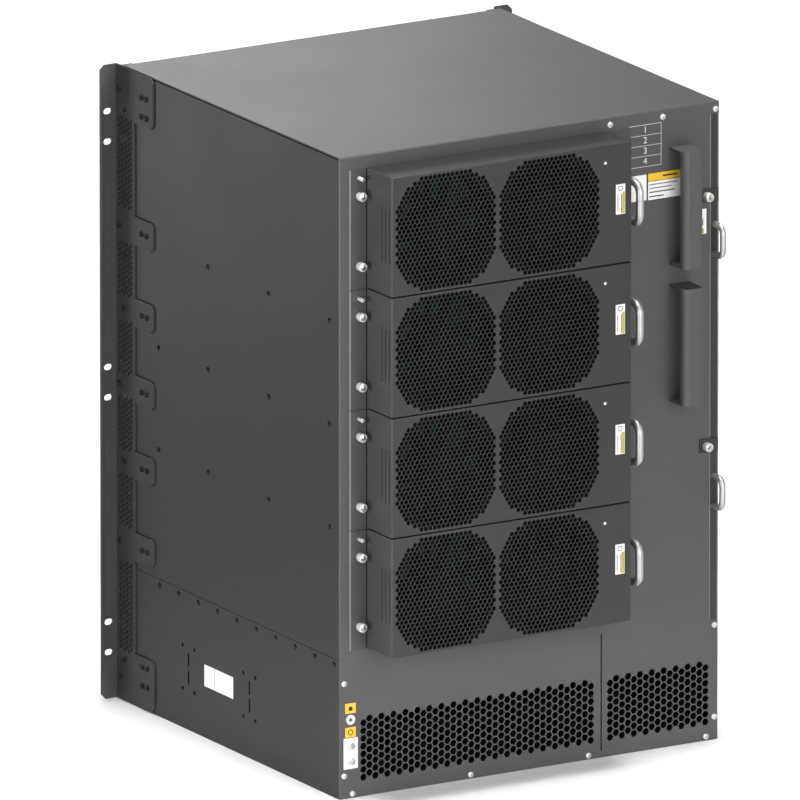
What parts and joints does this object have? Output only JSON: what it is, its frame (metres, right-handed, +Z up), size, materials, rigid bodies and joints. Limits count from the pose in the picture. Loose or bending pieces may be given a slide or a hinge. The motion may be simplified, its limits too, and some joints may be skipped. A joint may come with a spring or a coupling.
{
  "type": "modular chassis switch",
  "caption": "Rack-mount chassis for network cards: pull-out fan trays, air filter, cards and power modules, slotted rack ears, carrying handles.",
  "frame": {"origin": "centre of the box's floor", "axes": "+Z up; cards, power modules and rack ears face -Y; fan trays and air filter face +Y; +X is the side with the grounding plate"},
  "size_m": [0.4826, 0.511, 0.664],
  "materials": {
    "painted_steel": "satin dark grey powder coat",
    "plated_steel": "zinc plated",
    "circuit_board": "solder mask",
    "bright_metal": "nickel plated",
    "dark_screws": "black",
    "chrome_rod": "polished",
    "fan_plastic": "black",
    "foam": "open foam",
    "card_face": "satin grey",
    "module_case": "satin"
  },
  "bodies": {
    "chassis": {"base_pan": "painted_steel", "middle_shelf": "plated_steel", "side_panel_right": "painted_steel", "side_panel_left": "painted_steel", "top_cover": "painted_steel", "rear_panel": "painted_steel", "rack_ear_right": "painted_steel", "rack_ear_left": "painted_steel", "card_guide_right": "plated_steel", "card_guide_left": "plated_steel", "backplane": "circuit_board", "fan_guide_right": "plated_steel", "fan_guide_left": "plated_steel", "carrying_handle_upper": "painted_steel", "carrying_handle_lower": "painted_steel", "ground_plate": "bright_metal", "esd_socket": "bright_metal", "panel_screws": "bright_metal", "side_screws": "dark_screws"},
    "air_filter": {"filter_frame": "painted_steel", "filter_media": "foam", "filter_handles": "chrome_rod", "filter_screws": "bright_metal"},
    "fan_tray_1": {"tray_1": "painted_steel", "tray_1_fan_frames": "fan_plastic", "tray_1_handle": "chrome_rod", "tray_1_fasteners": "bright_metal"},
    "tray_1_fan_a": {"tray_1_rotor_a": "fan_plastic"},
    "tray_1_fan_b": {"tray_1_rotor_b": "fan_plastic"},
    "fan_tray_2": {"tray_2": "painted_steel", "tray_2_fan_frames": "fan_plastic", "tray_2_handle": "chrome_rod", "tray_2_fasteners": "bright_metal"},
    "tray_2_fan_a": {"tray_2_rotor_a": "fan_plastic"},
    "tray_2_fan_b": {"tray_2_rotor_b": "fan_plastic"},
    "fan_tray_3": {"tray_3": "painted_steel", "tray_3_fan_frames": "fan_plastic", "tray_3_handle": "chrome_rod", "tray_3_fasteners": "bright_metal"},
    "tray_3_fan_a": {"tray_3_rotor_a": "fan_plastic"},
    "tray_3_fan_b": {"tray_3_rotor_b": "fan_plastic"},
    "fan_tray_4": {"tray_4": "painted_steel", "tray_4_fan_frames": "fan_plastic", "tray_4_handle": "chrome_rod", "tray_4_fasteners": "bright_metal"},
    "tray_4_fan_a": {"tray_4_rotor_a": "fan_plastic"},
    "tray_4_fan_b": {"tray_4_rotor_b": "fan_plastic"},
    "line_card_1_body": {"line_card_1": "card_face"},
    "line_card_2_body": {"line_card_2": "card_face"},
    "line_card_3_body": {"line_card_3": "card_face"},
    "line_card_4_body": {"line_card_4": "card_face"},
    "line_card_5_body": {"line_card_5": "card_face"},
    "line_card_6_body": {"line_card_6": "card_face"},
    "line_card_7_body": {"line_card_7": "card_face"},
    "line_card_8_body": {"line_card_8": "card_face"},
    "control_card_1_body": {"control_card_1": "card_face"},
    "control_card_2_body": {"control_card_2": "card_face"},
    "power_module_1_body": {"power_module_1": "module_case"},
    "power_module_2_body": {"power_module_2": "module_case"},
    "power_module_3_body": {"power_module_3": "module_case"}
  },
  "joints": [
    {"name": "air_filter_slide", "type": "slide", "parent": "chassis", "child": "air_filter", "axis": [0, 1, 0], "range_m": [0, 0.36]},
    {"name": "tray_1_slide", "type": "slide", "parent": "chassis", "child": "fan_tray_1", "axis": [0, 1, 0], "range_m": [0, 0.14]},
    {"name": "tray_1_fan_a_spin", "type": "hinge", "parent": "fan_tray_1", "child": "tray_1_fan_a", "pos_m": [0.1259, 0.2293, 0.5883], "axis": [0, 1, 0], "continuous": true},
    {"name": "tray_1_fan_b_spin", "type": "hinge", "parent": "fan_tray_1", "child": "tray_1_fan_b", "pos_m": [0.0057, 0.2293, 0.5883], "axis": [0, 1, 0], "continuous": true},
    {"name": "tray_2_slide", "type": "slide", "parent": "chassis", "child": "fan_tray_2", "axis": [0, 1, 0], "range_m": [0, 0.14]},
    {"name": "tray_2_fan_a_spin", "type": "hinge", "parent": "fan_tray_2", "child": "tray_2_fan_a", "pos_m": [0.1259, 0.2293, 0.4639], "axis": [0, 1, 0], "continuous": true},
    {"name": "tray_2_fan_b_spin", "type": "hinge", "parent": "fan_tray_2", "child": "tray_2_fan_b", "pos_m": [0.0057, 0.2293, 0.4639], "axis": [0, 1, 0], "continuous": true},
    {"name": "tray_3_slide", "type": "slide", "parent": "chassis", "child": "fan_tray_3", "axis": [0, 1, 0], "range_m": [0, 0.14]},
    {"name": "tray_3_fan_a_spin", "type": "hinge", "parent": "fan_tray_3", "child": "tray_3_fan_a", "pos_m": [0.1259, 0.2293, 0.3395], "axis": [0, 1, 0], "continuous": true},
    {"name": "tray_3_fan_b_spin", "type": "hinge", "parent": "fan_tray_3", "child": "tray_3_fan_b", "pos_m": [0.0057, 0.2293, 0.3395], "axis": [0, 1, 0], "continuous": true},
    {"name": "tray_4_slide", "type": "slide", "parent": "chassis", "child": "fan_tray_4", "axis": [0, 1, 0], "range_m": [0, 0.14]},
    {"name": "tray_4_fan_a_spin", "type": "hinge", "parent": "fan_tray_4", "child": "tray_4_fan_a", "pos_m": [0.1259, 0.2293, 0.2151], "axis": [0, 1, 0], "continuous": true},
    {"name": "tray_4_fan_b_spin", "type": "hinge", "parent": "fan_tray_4", "child": "tray_4_fan_b", "pos_m": [0.0057, 0.2293, 0.2151], "axis": [0, 1, 0], "continuous": true},
    {"name": "line_card_1_slide", "type": "slide", "parent": "chassis", "child": "line_card_1_body", "axis": [0, -1, 0], "range_m": [0, 0.3]},
    {"name": "line_card_2_slide", "type": "slide", "parent": "chassis", "child": "line_card_2_body", "axis": [0, -1, 0], "range_m": [0, 0.3]},
    {"name": "line_card_3_slide", "type": "slide", "parent": "chassis", "child": "line_card_3_body", "axis": [0, -1, 0], "range_m": [0, 0.3]},
    {"name": "line_card_4_slide", "type": "slide", "parent": "chassis", "child": "line_card_4_body", "axis": [0, -1, 0], "range_m": [0, 0.3]},
    {"name": "line_card_5_slide", "type": "slide", "parent": "chassis", "child": "line_card_5_body", "axis": [0, -1, 0], "range_m": [0, 0.3]},
    {"name": "line_card_6_slide", "type": "slide", "parent": "chassis", "child": "line_card_6_body", "axis": [0, -1, 0], "range_m": [0, 0.3]},
    {"name": "line_card_7_slide", "type": "slide", "parent": "chassis", "child": "line_card_7_body", "axis": [0, -1, 0], "range_m": [0, 0.3]},
    {"name": "line_card_8_slide", "type": "slide", "parent": "chassis", "child": "line_card_8_body", "axis": [0, -1, 0], "range_m": [0, 0.3]},
    {"name": "control_card_1_slide", "type": "slide", "parent": "chassis", "child": "control_card_1_body", "axis": [0, -1, 0], "range_m": [0, 0.3]},
    {"name": "control_card_2_slide", "type": "slide", "parent": "chassis", "child": "control_card_2_body", "axis": [0, -1, 0], "range_m": [0, 0.3]},
    {"name": "power_module_1_slide", "type": "slide", "parent": "chassis", "child": "power_module_1_body", "axis": [0, -1, 0], "range_m": [0, 0.27]},
    {"name": "power_module_2_slide", "type": "slide", "parent": "chassis", "child": "power_module_2_body", "axis": [0, -1, 0], "range_m": [0, 0.27]},
    {"name": "power_module_3_slide", "type": "slide", "parent": "chassis", "child": "power_module_3_body", "axis": [0, -1, 0], "range_m": [0, 0.27]}
  ]
}
